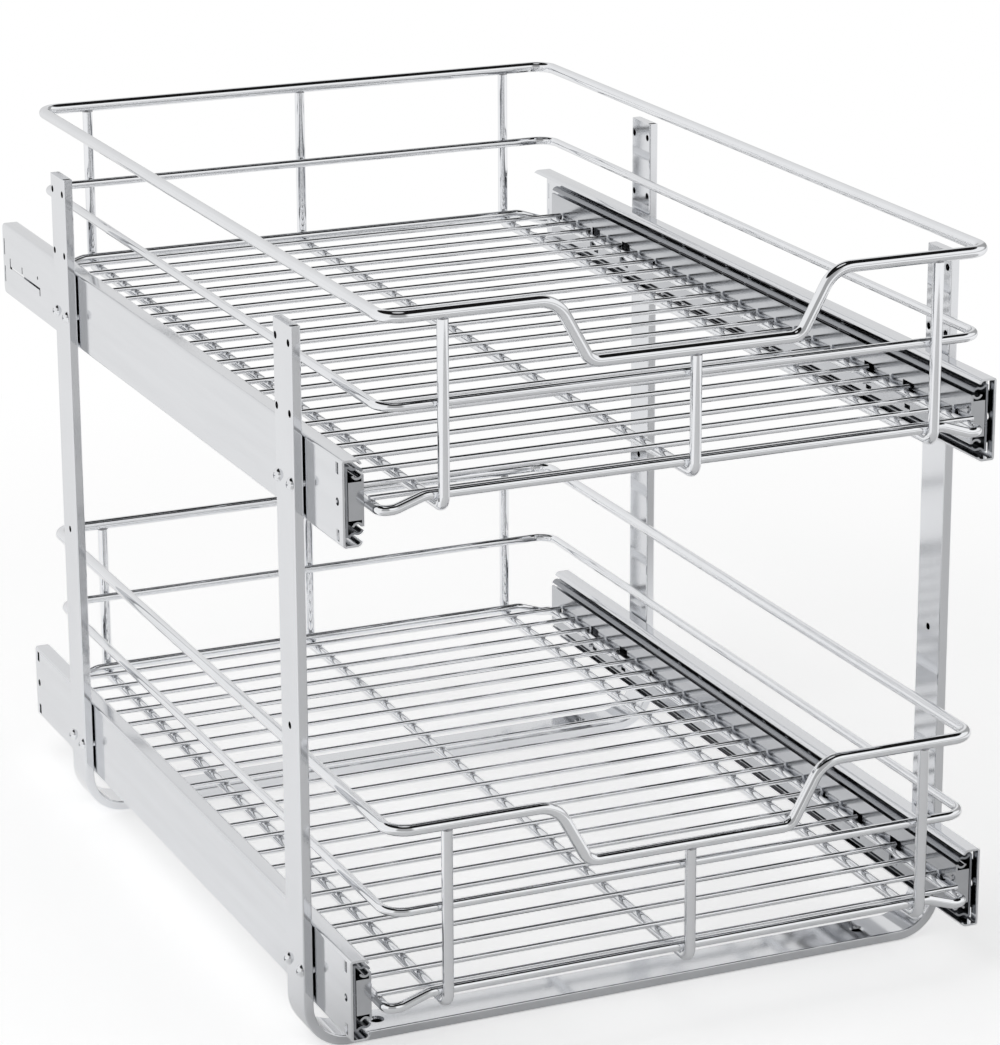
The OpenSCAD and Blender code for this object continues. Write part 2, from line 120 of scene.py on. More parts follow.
# %% [markdown]
# ## Small helpers for node trees
#
# A node tree is easier to read when one line makes a node and fills in its
# inputs. `add` does that, and `join` draws one link. `maths`, `vector_maths`,
# `fade` and `blend` make the nodes that the trees below use most.


# %% Node helpers
# several sockets of a Mix node share a name, so they are known by number
MIX_FLOAT_A, MIX_FLOAT_B, MIX_FLOAT_OUT = 2, 3, 0
MIX_COLOUR_A, MIX_COLOUR_B, MIX_COLOUR_OUT = 6, 7, 2


def add(tree, kind, x=0, y=0, **inputs):
    node = tree.nodes.new(kind)
    node.location = (x, y)
    for name, value in inputs.items():
        node.inputs[name.replace("_", " ")].default_value = value
    return node


def join(tree, a, out, b, into):
    tree.links.new(a.outputs[out], b.inputs[into])


def new_group(name, kind, inputs, outputs):
    """A node group with named sockets: each is (name, socket type, default)."""
    tree = bpy.data.node_groups.new(name, kind)
    for label, socket_type, default in inputs:
        socket = tree.interface.new_socket(label, in_out="INPUT", socket_type=socket_type)
        if default is not None:
            socket.default_value = default
    for label, socket_type in outputs:
        tree.interface.new_socket(label, in_out="OUTPUT", socket_type=socket_type)
    return tree, tree.nodes.new("NodeGroupInput"), tree.nodes.new("NodeGroupOutput")


def new_material(name):
    """A material and its node tree, which is empty."""
    mat = bpy.data.materials.new(name)
    mat.use_nodes = True
    mat.node_tree.nodes.clear()
    return mat, mat.node_tree


def maths(tree, operation, x, y, first, second=None, third=None):
    """One Math node; each of the three values is a number or a socket."""
    node = add(tree, "ShaderNodeMath", x, y)
    node.operation = operation
    for k, value in enumerate((first, second, third)):
        if isinstance(value, (int, float)):
            node.inputs[k].default_value = value
        elif value is not None:
            tree.links.new(value, node.inputs[k])
    return node.outputs[0]


def vector_maths(tree, operation, x, y, first, second=None):
    """One Vector Math node on a socket and, where it takes two, a fixed vector."""
    node = add(tree, "ShaderNodeVectorMath", x, y)
    node.operation = operation
    tree.links.new(first, node.inputs[0])
    if second is not None:
        node.inputs[1].default_value = second
    return node


def fade(tree, x, y, value, start, end):
    """A smooth step from 0 at start to 1 at end."""
    node = add(tree, "ShaderNodeMapRange", x, y, From_Min=start, From_Max=end)
    node.interpolation_type = "SMOOTHSTEP"
    tree.links.new(value, node.inputs["Value"])
    return node.outputs["Result"]


def blend(tree, x, y, mask, first, second):
    """The socket first where the mask is 0, the number second where it is 1."""
    node = add(tree, "ShaderNodeMix", x, y)
    tree.links.new(mask, node.inputs[0])
    tree.links.new(first, node.inputs[MIX_FLOAT_A])
    node.inputs[MIX_FLOAT_B].default_value = second
    return node.outputs[MIX_FLOAT_OUT]


print("helpers ready")

# %% [markdown]
# ## Studio
#
# The part stands on a plain white floor. Chrome shows nothing but what it
# mirrors, so the studio round it matters more than the lamps. The world is a
# ring of large pale panels under a black ceiling, and the edge of that ceiling
# draws the dark line along each wire. A round light panel straight overhead is
# for the view from the top. Azimuth counts from the back of the part towards
# its right.

# %% World panels
STUDIO_GREY = 0.62
# (azimuth, half width, elevation, half height, softness) in degrees, brightness;
# a later panel covers an earlier one
PANELS = [
    ((-60, 62, 10, 40, 12), 0.95),   # large, left and back left
    ((15, 24, 10, 30, 8), 0.90),     # back
    ((62, 16, 20, 40, 10), 0.42),    # narrow and grey, back right
    ((140, 62, 30, 14, 9), 1.0),     # long strip, front right
    ((-160, 24, 20, 24, 14), 0.40),  # grey, front left
    ((0, 180, 90, 43, 3), 0.01),     # black ceiling
    ((0, 180, 90, 10, 3), 0.80),     # round light, overhead
]


def make_world():
    world = bpy.data.worlds.new("studio_world")
    bpy.context.scene.world = world
    world.use_nodes = True
    tree = world.node_tree
    tree.nodes.clear()
    coords = add(tree, "ShaderNodeTexCoord", -1500, 0)
    split = add(tree, "ShaderNodeSeparateXYZ", -1300, 0)
    join(tree, coords, "Generated", split, "Vector")
    azimuth = maths(tree, "ARCTAN2", -1100, 150, split.outputs["X"], split.outputs["Y"])
    elevation = maths(tree, "ARCSINE", -1100, -150, split.outputs["Z"])
    grey = add(tree, "ShaderNodeValue", -1100, 0)
    grey.outputs[0].default_value = STUDIO_GREY
    shade = grey.outputs[0]
    for k, (place, brightness) in enumerate(PANELS):
        middle, wide, height, tall, soft = (math.radians(v) for v in place)
        y = -300 * k
        across = maths(tree, "SUBTRACT", -900, y, azimuth, middle)
        across = maths(tree, "WRAP", -740, y, across, math.pi, -math.pi)
        across = maths(tree, "ABSOLUTE", -580, y, across)
        up = maths(tree, "SUBTRACT", -740, y - 150, elevation, height)
        up = maths(tree, "ABSOLUTE", -580, y - 150, up)
        inside = maths(tree, "MULTIPLY", -200, y,
                       fade(tree, -400, y, across, wide + soft, wide),
                       fade(tree, -400, y - 150, up, tall + soft, tall))
        shade = blend(tree, 0, y, inside, shade, brightness)
    light = add(tree, "ShaderNodeBackground", 200, 0, Strength=1.0)
    tree.links.new(shade, light.inputs["Color"])
    out = add(tree, "ShaderNodeOutputWorld", 400, 0)
    join(tree, light, 0, out, "Surface")


make_world()
print(len(PANELS), "panels")

# %% [markdown]
# The floor is one big plane. Away from the part it is plain white, to the
# camera and in mirror images alike. Round the part it is lit by the lamp with
# some white added, so the soft shadow stays. In front, outside the picture, its
# mirror image has hardly any white, which leaves the fronts of the posts grey.

# %% Floor
FLOOR_HALF, FLOOR_Z = 15.0, -0.0005
FLOOR_COLOUR = 0.86
FLOOR_LIFT = 0.47
# the distance from WHITE_MIDDLE where plain white starts and where it is full
WHITE_MIDDLE = (0.05, 0.1, 0.0)
WHITE_START, WHITE_FULL = 0.45, 1.0
# an oval in front: its middle, its half lengths and the shares of them where
# it starts to fade and where it ends
GREY_ZONE = (0.08, -0.95, 0.0)
GREY_ZONE_HALF = (0.9, 0.92, 1.0)
GREY_ZONE_END = (0.8, 1.05)
GREY_ZONE_WHITE = 0.1


def make_floor():
    mesh = bpy.data.meshes.new("studio_floor")
    corners = [(a * FLOOR_HALF, b * FLOOR_HALF, FLOOR_Z)
               for a, b in ((-1, -1), (1, -1), (1, 1), (-1, 1))]
    mesh.from_pydata(corners, [], [(0, 1, 2, 3)])
    floor = put("studio_floor", mesh)
    mat, tree = new_material("floor_white")
    coords = add(tree, "ShaderNodeTexCoord", -1300, 0)
    place = coords.outputs["Object"]
    away = vector_maths(tree, "DISTANCE", -1100, 200, place, WHITE_MIDDLE)
    far = fade(tree, -900, 200, away.outputs["Value"], WHITE_START, WHITE_FULL)
    offset = vector_maths(tree, "SUBTRACT", -1100, -100, place, GREY_ZONE)
    squeeze = vector_maths(tree, "DIVIDE", -950, -100, offset.outputs[0], GREY_ZONE_HALF)
    reach = vector_maths(tree, "LENGTH", -800, -100, squeeze.outputs[0])
    outside = fade(tree, -650, -100, reach.outputs["Value"], *GREY_ZONE_END)
    outside = maths(tree, "MAXIMUM", -500, -100, outside, GREY_ZONE_WHITE)
    path = add(tree, "ShaderNodeLightPath", -1300, 500)
    mirrored = maths(tree, "MAXIMUM", -1100, 500, path.outputs["Is Glossy Ray"],
                     path.outputs["Is Transmission Ray"])
    mirrored_white = maths(tree, "MULTIPLY", -900, 400, mirrored, outside)
    shown = maths(tree, "MAXIMUM", -700, 400, path.outputs["Is Camera Ray"], mirrored_white)
    paint = add(tree, "ShaderNodeBsdfDiffuse", 0, 0, Color=(FLOOR_COLOUR,) * 3 + (1,))
    lift = add(tree, "ShaderNodeEmission", 0, -150)
    tree.links.new(maths(tree, "MULTIPLY", -300, -150, shown, FLOOR_LIFT),
                   lift.inputs["Strength"])
    near = add(tree, "ShaderNodeAddShader", 200, 0)
    join(tree, paint, 0, near, 0)
    join(tree, lift, 0, near, 1)
    white = add(tree, "ShaderNodeEmission", 200, 200, Strength=1.0)
    both = add(tree, "ShaderNodeMixShader", 400, 0)
    tree.links.new(maths(tree, "MULTIPLY", -300, 200, shown, far), both.inputs[0])
    join(tree, near, 0, both, 1)
    join(tree, white, 0, both, 2)
    out = add(tree, "ShaderNodeOutputMaterial", 600, 0)
    join(tree, both, 0, out, "Surface")
    mesh.materials.append(mat)


make_floor()
print("floor", 2 * FLOOR_HALF, "m wide")


# %% Lamp
LAMP_AT, LAMP_TARGET = Vector((-1.2, -0.4, 2.6)), Vector((0, 0.1, 0))
LAMP_SIZE, LAMP_WATTS = 1.6, 17


def soft_box():
    data = bpy.data.lights.new("key_box", "AREA")
    data.shape, data.size, data.energy = "SQUARE", LAMP_SIZE, LAMP_WATTS
    lamp = put("key_box", data)
    lamp.location = LAMP_AT
    lamp.rotation_euler = (LAMP_TARGET - LAMP_AT).to_track_quat("-Z", "Y").to_euler()
    lamp.visible_glossy = False


soft_box()
bpy.context.scene.view_settings.view_transform = "Standard"
print("one soft box of", LAMP_WATTS, "W")

# %% [markdown]
# ## Surface groups
#
# Bright chrome plating is almost a mirror. What tells a real plated part from
# a perfect one is a faint waviness under the plating, hair fine wiping marks
# and slightly duller patches. `plating_wear` makes those as a roughness value
# and a height, and each finish below uses it with its own amounts.


# %% Group: plating wear
MARK_HEIGHT = 0.25   # of the marks, against the patches


def plating_wear():
    tree, start, end = new_group(
        "plating_wear", "ShaderNodeTree",
        [("Vector", "NodeSocketVector", None), ("Base Roughness", "NodeSocketFloat", 0.08),
         ("Patch Size", "NodeSocketFloat", 40.0), ("Patch Amount", "NodeSocketFloat", 0.06),
         ("Mark Size", "NodeSocketFloat", 900.0)],
        [("Roughness", "NodeSocketFloat"), ("Height", "NodeSocketFloat"),
         ("Patches", "NodeSocketFloat")])
    patches = add(tree, "ShaderNodeTexNoise", -400, 200, Detail=3.0, Roughness=0.55)
    marks = add(tree, "ShaderNodeTexNoise", -400, -100, Detail=2.0, Roughness=0.6)
    for noise, scale in ((patches, "Patch Size"), (marks, "Mark Size")):
        join(tree, start, "Vector", noise, "Vector")
        join(tree, start, scale, noise, "Scale")
    amount = maths(tree, "MULTIPLY", -150, 200, patches.outputs[0],
                   start.outputs["Patch Amount"])
    rough = maths(tree, "ADD", 50, 200, start.outputs["Base Roughness"], amount)
    height = maths(tree, "MULTIPLY_ADD", 0, -100, marks.outputs[0], MARK_HEIGHT,
                   patches.outputs[0])
    tree.links.new(rough, end.inputs["Roughness"])
    tree.links.new(height, end.inputs["Height"])
    join(tree, patches, 0, end, "Patches")
    return tree


PLATING = plating_wear()
print("group", PLATING.name)

# %% [markdown]
# One function then makes every metal of the part. `edge` is how bright the
# metal stays at a grazing angle. `stretch` squeezes the pattern along the
# slide, where rolling and drawing leave long faint lines.


# %% Metal finishes
PLATING_DEPTH = 0.0004
ALONG_SLIDE = (1.0, 0.06, 1.0)


def plated_metal(name, colour, dull, roughness=0.08, patch=40.0, amount=0.06,
                 marks=900.0, bump=0.03, stretch=(1.0, 1.0, 1.0), edge=0.9):
    mat, tree = new_material(name)
    coords = add(tree, "ShaderNodeTexCoord", -1000, 0)
    mapping = add(tree, "ShaderNodeMapping", -800, 0)
    mapping.inputs["Scale"].default_value = stretch
    join(tree, coords, "Object", mapping, "Vector")
    wear = add(tree, "ShaderNodeGroup", -550, 0)
    wear.node_tree = PLATING
    wear.inputs["Base Roughness"].default_value = roughness
    wear.inputs["Patch Size"].default_value = patch
    wear.inputs["Patch Amount"].default_value = amount
    wear.inputs["Mark Size"].default_value = marks
    join(tree, mapping, "Vector", wear, "Vector")
    tint = add(tree, "ShaderNodeMix", -250, 200)
    tint.data_type = "RGBA"
    tint.inputs[MIX_COLOUR_A].default_value = (*colour, 1)
    tint.inputs[MIX_COLOUR_B].default_value = (*dull, 1)
    join(tree, wear, "Patches", tint, "Factor")
    relief = add(tree, "ShaderNodeBump", -250, -200, Strength=bump, Distance=PLATING_DEPTH)
    join(tree, wear, "Height", relief, "Height")
    shader = add(tree, "ShaderNodeBsdfPrincipled", 50, 0, Metallic=1.0)
    shader.inputs["Specular Tint"].default_value = (edge, edge, edge, 1)
    join(tree, tint, MIX_COLOUR_OUT, shader, "Base Color")
    join(tree, wear, "Roughness", shader, "Roughness")
    join(tree, relief, "Normal", shader, "Normal")
    out = add(tree, "ShaderNodeOutputMaterial", 350, 0)
    join(tree, shader, 0, out, "Surface")
    return mat


chrome_wire = plated_metal("bright_chrome_wire", (0.88, 0.89, 0.91), (0.80, 0.81, 0.83),
                           roughness=0.04, amount=0.03, bump=0.004, edge=0.8)
chrome_tube = plated_metal("bright_chrome_tube", (0.78, 0.79, 0.81), (0.70, 0.71, 0.73),
                           roughness=0.07, patch=18.0, amount=0.05, bump=0.015)
chrome_sheet = plated_metal("bright_rolled_sheet", (0.78, 0.79, 0.81), (0.68, 0.69, 0.71),
                            roughness=0.06, patch=120.0, amount=0.06, bump=0.015,
                            stretch=ALONG_SLIDE)
inner_sheet = plated_metal("dark_rolled_sheet", (0.58, 0.59, 0.61), (0.48, 0.49, 0.51),
                           roughness=0.09, patch=120.0, amount=0.08, bump=0.015,
                           stretch=ALONG_SLIDE)
zinc_sheet = plated_metal("zinc_rolled_sheet", (0.36, 0.37, 0.39), (0.26, 0.27, 0.29),
                          roughness=0.18, patch=150.0, amount=0.16, stretch=ALONG_SLIDE)
retainer_steel = plated_metal("dark_retainer_steel", (0.16, 0.16, 0.17), (0.10, 0.10, 0.11),
                              roughness=0.3, patch=150.0, amount=0.2, stretch=ALONG_SLIDE)
screw_steel = plated_metal("bright_screw_steel", (0.84, 0.85, 0.87), (0.70, 0.71, 0.73),
                           roughness=0.05, patch=400.0, marks=3000.0)
ball_steel = plated_metal("polished_ball_steel", (0.88, 0.89, 0.90), (0.8, 0.81, 0.82),
                          roughness=0.05, patch=600.0, amount=0.03)
weld_metal = plated_metal("plated_weld", (0.62, 0.62, 0.63), (0.42, 0.42, 0.43),
                          roughness=0.14, patch=500.0, amount=0.15, marks=1200.0, bump=0.05)
print("nine metals")

# %% [markdown]
# The inside of the flat tubes gets a near black colour, which is painted shade,
# so the open slot at the top of each upright reads black. The group makes a
# mask from the four uprights' places, which lie mirrored about the middle of
# the part. It ends above the bends, where the tubes leave those places.


# %% Group: painted shade inside the tubes
ABOVE_BEND, INSIDE_MARGIN = 5, 0.1
INSIDE_LOW, INSIDE_TOP = BEND_R + ABOVE_BEND, FRAME_H - TUBE_WALL / 2
TUBE_MIDDLE = metres((FRAME_HALF_W - TUBE_T / 2, FRAME_PITCH / 2,
                      (INSIDE_TOP + INSIDE_LOW) / 2))
TUBE_INSIDE_HALF = metres((TUBE_T / 2 - TUBE_WALL + INSIDE_MARGIN,
                           TUBE_W / 2 - TUBE_WALL + INSIDE_MARGIN,
                           (INSIDE_TOP - INSIDE_LOW) / 2))
# painted shade: this near black colour stands for the shade inside the tubes
TUBE_INSIDE_SHADE_COLOUR = (0.05, 0.05, 0.055, 1)


def shade_inside_tubes():
    tree, start, end = new_group(
        "painted_shade_inside_the_tubes", "ShaderNodeTree", [("Vector", "NodeSocketVector", None)],
        [("Mask", "NodeSocketFloat")])
    split = add(tree, "ShaderNodeSeparateXYZ", -600, 0)
    join(tree, start, "Vector", split, "Vector")
    mask = 1.0
    for k, axis in enumerate("XYZ"):
        place = maths(tree, "ABSOLUTE", -400, 200 * k, split.outputs[axis])
        near = maths(tree, "COMPARE", -200, 200 * k, place, TUBE_MIDDLE[k],
                     TUBE_INSIDE_HALF[k])
        mask = maths(tree, "MULTIPLY", 200 * k, 0, near, mask)
    tree.links.new(mask, end.inputs["Mask"])
    return tree


def paint_shade(mat, group, colour):
    """Paints the colour into the metal where the group's mask is 1, as painted shade."""
    tree = mat.node_tree
    shader = next(n for n in tree.nodes if n.type == "BSDF_PRINCIPLED")
    coords = next(n for n in tree.nodes if n.type == "TEX_COORD")
    mask = add(tree, "ShaderNodeGroup", -550, 400)
    mask.node_tree = group
    join(tree, coords, "Object", mask, "Vector")
    mix = add(tree, "ShaderNodeMix", -100, 400)
    mix.data_type = "RGBA"
    join(tree, mask, "Mask", mix, "Factor")
    before = shader.inputs["Base Color"].links[0].from_socket
    tree.links.new(before, mix.inputs[MIX_COLOUR_A])
    mix.inputs[MIX_COLOUR_B].default_value = colour
    join(tree, mix, MIX_COLOUR_OUT, shader, "Base Color")


TUBE_SHADE_MASK = shade_inside_tubes()
# paints the shade inside the tubes into the tube chrome
paint_shade(chrome_tube, TUBE_SHADE_MASK, TUBE_INSIDE_SHADE_COLOUR)
print("group", TUBE_SHADE_MASK.name)

# %% [markdown]
# ## CAD pieces
#
# The CAD meshes are fine triangles with no smoothing. A small modifier tree
# merges their doubled points and marks only real edges as sharp, so bends and
# ball races shade as one surface. Large faces then weigh more in the shading
# than small ones, which keeps them flat. The shape itself isn't changed.


# %% Smooth shading tree
SAME_POINT = 0.000002
CAD_EDGE_ANGLE, WIRE_EDGE_ANGLE = 0.52, 0.9   # radians


def edge_shading():
    tree, start, end = new_group(
        "smooth_but_real_edges", "GeometryNodeTree",
        [("Geometry", "NodeSocketGeometry", None),
         ("Edge Angle", "NodeSocketFloat", CAD_EDGE_ANGLE)],
        [("Geometry", "NodeSocketGeometry")])
    tree.is_modifier = True
    merge = add(tree, "GeometryNodeMergeByDistance", 0, 0, Distance=SAME_POINT)
    join(tree, start, "Geometry", merge, "Geometry")
    faces = add(tree, "GeometryNodeSetShadeSmooth", 200, 0)
    faces.domain = "FACE"
    join(tree, merge, "Geometry", faces, "Geometry")
    angle = add(tree, "GeometryNodeInputMeshEdgeAngle", 0, -200)
    sharp = add(tree, "FunctionNodeCompare", 200, -200)
    sharp.data_type, sharp.operation = "FLOAT", "GREATER_THAN"
    join(tree, angle, "Unsigned Angle", sharp, "A")
    join(tree, start, "Edge Angle", sharp, "B")
    edges = add(tree, "GeometryNodeSetShadeSmooth", 400, 0)
    edges.domain = "EDGE"
    edges.inputs["Shade Smooth"].default_value = False
    join(tree, faces, "Geometry", edges, "Geometry")
    join(tree, sharp, "Result", edges, "Selection")
    join(tree, edges, "Geometry", end, "Geometry")
    return tree


SHADING = edge_shading()
print("tree", SHADING.name)

# %% Finish the CAD nodes
FLAT_WEIGHT = 90
finishes = {"front_frame": chrome_tube, "rear_frame": chrome_tube, "slide_screws": screw_steel}
for tier in TIERS:
    for side in SIDES:
        finishes[f"{tier}_outer_{side}"] = chrome_sheet
        finishes[f"{tier}_inner_{side}"] = inner_sheet
        finishes[f"{tier}_intermediate_{side}"] = zinc_sheet
        finishes[f"{tier}_outer_retainer_{side}"] = retainer_steel
        finishes[f"{tier}_inner_retainer_{side}"] = retainer_steel
    finishes[f"{tier}_outer_balls"] = ball_steel
    finishes[f"{tier}_inner_balls"] = ball_steel


def finish_node(name, mat):
    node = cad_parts[name]
    if not node.material_slots:
        node.data.materials.append(mat)
    for place in node.material_slots:
        place.material = mat
    modifier = node.modifiers.new("edges", "NODES")
    modifier.node_group = SHADING
    flat = node.modifiers.new("flat_faces_stay_flat", "WEIGHTED_NORMAL")
    flat.mode = "FACE_AREA"
    flat.weight = FLAT_WEIGHT
    flat.keep_sharp = True


for name, mat in finishes.items():
    finish_node(name, mat)
print(len(finishes), "CAD nodes finished")

# %% [markdown]
# ## Bent wire
#
# Each basket wire is one round wire bent in a jig. In Geometry Nodes that is a
# line with sharp corners, whose corners are rounded by Fillet Curve and which
# Curve to Mesh then wraps with a circle. The corner points carry their own
# bend radius, because the rim turns wide at its corners and tight in the
# scoop.


# %% Tree: wire along a path
def smooth_wire(tree, x, last, out):
    shade = add(tree, "GeometryNodeGroup", x, 0)
    shade.node_tree = SHADING
    shade.inputs["Edge Angle"].default_value = WIRE_EDGE_ANGLE
    join(tree, last, out, shade, "Geometry")
    return shade


def give_metal(tree, x, last, start, end):
    """The end of each tree: the Metal input goes on what the last node made."""
    metal = add(tree, "GeometryNodeSetMaterial", x, 0)
    join(tree, last, "Geometry", metal, "Geometry")
    join(tree, start, "Metal", metal, "Material")
    join(tree, metal, "Geometry", end, "Geometry")


def wire_tree():
    tree, start, end = new_group(
        "bent_round_wire", "GeometryNodeTree",
        [("Geometry", "NodeSocketGeometry", None), ("Wire Diameter", "NodeSocketFloat", 0.006),
         ("Bend Steps", "NodeSocketInt", 8), ("Round Steps", "NodeSocketInt", 20),
         ("Metal", "NodeSocketMaterial", None)],
        [("Geometry", "NodeSocketGeometry")])
    tree.is_modifier = True
    curve = add(tree, "GeometryNodeMeshToCurve", -400, 0)
    join(tree, start, "Geometry", curve, "Mesh")
    bend = add(tree, "GeometryNodeInputNamedAttribute", -400, -200)
    bend.data_type = "FLOAT"
    bend.inputs["Name"].default_value = "bend_radius"
    fillet = add(tree, "GeometryNodeFilletCurve", -200, 0)
    fillet.mode = "POLY"
    join(tree, curve, "Curve", fillet, "Curve")
    join(tree, start, "Bend Steps", fillet, "Count")
    join(tree, bend, "Attribute", fillet, "Radius")
    half = maths(tree, "MULTIPLY", -400, -400, start.outputs["Wire Diameter"], 0.5)
    ring = add(tree, "GeometryNodeCurvePrimitiveCircle", -200, -300)
    tree.links.new(half, ring.inputs["Radius"])
    join(tree, start, "Round Steps", ring, "Resolution")
    skin = add(tree, "GeometryNodeCurveToMesh", 0, 0)
    skin.inputs["Fill Caps"].default_value = True
    join(tree, fillet, "Curve", skin, "Curve")
    join(tree, ring, "Curve", skin, "Profile Curve")
    give_metal(tree, 400, smooth_wire(tree, 200, skin, "Mesh"), start, end)
    return tree


WIRE = wire_tree()
print("tree", WIRE.name)

# %% [markdown]
# A modifier's inputs are set by the identifier of the socket. `bake` runs the
# tree once on the given mesh and keeps only the plain mesh that comes out, so
# the piece that rides on a CAD body has no modifier left.


# %% Bake a tree to a plain piece
def bake(name, mesh, tree, values):
    maker = put(name + "_maker", mesh)
    modifier = maker.modifiers.new("make", "NODES")
    modifier.node_group = tree
    for item in tree.interface.items_tree:
        if item.item_type == "SOCKET" and item.in_out == "INPUT" and item.name in values:
            modifier[item.identifier] = values[item.name]
    bpy.context.view_layer.update()
    made = maker.evaluated_get(bpy.context.evaluated_depsgraph_get())
    result = bpy.data.meshes.new_from_object(made)
    result.name = name
    piece = put(name, result)
    bpy.data.objects.remove(maker)
    print(name, len(result.polygons), "faces")
    return piece


def path_mesh(name, lines):
    """Lines of (x, y, z, bend radius) points in millimetres, each with a closed flag."""
    points, edges, bends = [], [], []
    for line, closed in lines:
        first = len(points)
        for x, y, z, bend in line:
            points.append(metres((x, y, z)))
            bends.append(bend / MM_PER_M)
        edges += [(first + k, first + k + 1) for k in range(len(line) - 1)]
        if closed:
            edges.append((first + len(line) - 1, first))
    mesh = bpy.data.meshes.new(name)
    mesh.from_pydata(points, edges, [])
    layer = mesh.attributes.new("bend_radius", "FLOAT", "POINT")
    layer.data.foreach_set("value", bends)
    return mesh


print("bake ready")

# %% [markdown]
# ## Basket sizes
#
# These are the sizes of the wires in millimetres, as in the part's source; only
# the bends of the long wires are 0.05 mm wider here. Heights count from the
# middle of the slide that carries the basket, and the wires sink a little into
# each other where they are welded.

# %% Basket sizes
BASKET_L, BASKET_LEAD = 550, 68
RIM_D, RING_D, RAIL_D, LONG_D, CROSS_D = 6.4, 5.0, 5.5, 6.0, 3.0
WELD_SINK = 0.15
FLOOR_DROP, RIM_RISE, RING_RISE = 2.25, 98.5, 52
RIM_GAP, SIDE_GAP = 4, 0.05
CORNER_R = 12
SCOOP_TOP, SCOOP_FOOT, SCOOP_DROP = 77, 58.5, 33.5
SCOOP_TOP_R, SCOOP_R = 17, 9
RAIL_R, DIP_GAP, DIP_L, DIP_R = 4.5, 3, 16, 14
LONG_X, LONG_R = 137.5, 6.0
CROSS_N, CROSS_LEAD, CROSS_GAP = 24, 16.2, 1.3

FRONT_Y = -(FRAME_PITCH + TUBE_W) / 2 - BASKET_LEAD
REAR_Y = FRONT_Y + BASKET_L
INNER_FACE_X = FRAME_HALF_W - TUBE_T - STAND_OFF - SLIDE_T
RIM_X = INNER_FACE_X - RIM_GAP
LONG_Z = -FLOOR_DROP
CROSS_Z = LONG_Z + LONG_D / 2 + CROSS_D / 2 - WELD_SINK
SIDE_Z = CROSS_Z - CROSS_D / 2 - RAIL_D / 2 + WELD_SINK
RAIL_Z = LONG_Z + LONG_D / 2 + RAIL_D / 2 - WELD_SINK
RIM_Z, RING_Z = LONG_Z + RIM_RISE, LONG_Z + RING_RISE
SIDE_X = INNER_FACE_X - RAIL_D / 2 - SIDE_GAP
RAIL_IN = LONG_D / 2 + RAIL_D / 2 - WELD_SINK
RING_IN = LONG_D / 2 + RING_D / 2 - WELD_SINK
LONG_ROW = (-LONG_X, 0, LONG_X)
CROSS_END = INNER_FACE_X - CROSS_GAP
CROSS_Y0 = FRONT_Y + CROSS_LEAD
CROSS_STEP = (BASKET_L - 2 * CROSS_LEAD) / (CROSS_N - 1)
print("basket", round(2 * RIM_X, 1), "x", BASKET_L, "mm,", CROSS_N, "cross wires")


# %% Rim, ring, bottom frame and long wire paths
def rim_path(zc):
    z = zc + RIM_Z
    low = z - SCOOP_DROP
    line = [(RIM_X, FRONT_Y, z, CORNER_R), (RIM_X, REAR_Y, z, CORNER_R),
            (-RIM_X, REAR_Y, z, CORNER_R), (-RIM_X, FRONT_Y, z, CORNER_R),
            (-SCOOP_TOP, FRONT_Y, z, SCOOP_TOP_R), (-SCOOP_FOOT, FRONT_Y, low, SCOOP_R),
            (SCOOP_FOOT, FRONT_Y, low, SCOOP_R), (SCOOP_TOP, FRONT_Y, z, SCOOP_TOP_R)]
    return [(line, True)]


def ring_path(zc):
    z = zc + RING_Z
    front, rear = FRONT_Y + RING_IN, REAR_Y - RING_IN
    line = [(x, y, z, CORNER_R) for x, y in
            ((-RIM_X, front), (RIM_X, front), (RIM_X, rear), (-RIM_X, rear))]
    return [(line, True)]


def bottom_path(zc):
    """The front and rear rails come down at both ends to the side wires."""
    dip_1 = SIDE_X - RAIL_R - DIP_GAP
    dip_0 = dip_1 - DIP_L
    high, low = zc + RAIL_Z, zc + SIDE_Z
    line = []
    for y, a in ((FRONT_Y + RAIL_IN, -1), (REAR_Y - RAIL_IN, 1)):
        line += [(a * SIDE_X, y, low, RAIL_R), (a * dip_1, y, low, DIP_R),
                 (a * dip_0, y, high, DIP_R), (-a * dip_0, y, high, DIP_R),
                 (-a * dip_1, y, low, DIP_R), (-a * SIDE_X, y, low, RAIL_R)]
    return [(line, True)]


def long_path(zc):
    """Three U shaped wires; the middle one ends at the foot of the scoop."""
    low, top = zc + LONG_Z, zc + RIM_Z - RIM_D / 2 + WELD_SINK
    lines = []
    for x in LONG_ROW:
        front_top = top if x else top - SCOOP_DROP
        lines.append(([(x, FRONT_Y, front_top, 0), (x, FRONT_Y, low, LONG_R),
                       (x, REAR_Y, low, LONG_R), (x, REAR_Y, top, 0)], False))
    return lines


# %% Make the bent wires
BEND_STEPS, ROUND_STEPS = 10, 24
BENT_WIRES = (("rim", rim_path, RIM_D), ("middle_ring", ring_path, RING_D),
              ("bottom_frame", bottom_path, RAIL_D), ("long_wires", long_path, LONG_D))


def make_wire(tier, part, path, diameter):
    name = f"{tier}_{part}_wire"
    lines = path(SLIDE_Z[tier])
    piece = bake(name, path_mesh(name + "_path", lines), WIRE,
                 {"Wire Diameter": diameter / MM_PER_M, "Bend Steps": BEND_STEPS,
                  "Round Steps": ROUND_STEPS, "Metal": chrome_wire})
    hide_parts(f"{tier}_{part}")
    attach(piece, f"{tier}_basket")


for tier in TIERS:
    for part, path, diameter in BENT_WIRES:
        make_wire(tier, part, path, diameter)

# %% [markdown]
# ## Cross wires
#
# The basket's floor is a row of thin straight wires, all alike and evenly
# spaced. One wire is made once and placed on the points of a line, which is
# the plain use of instances. They are made real at the end for the export.


# %% Tree: row of straight wires
CROSS_STEPS = 16


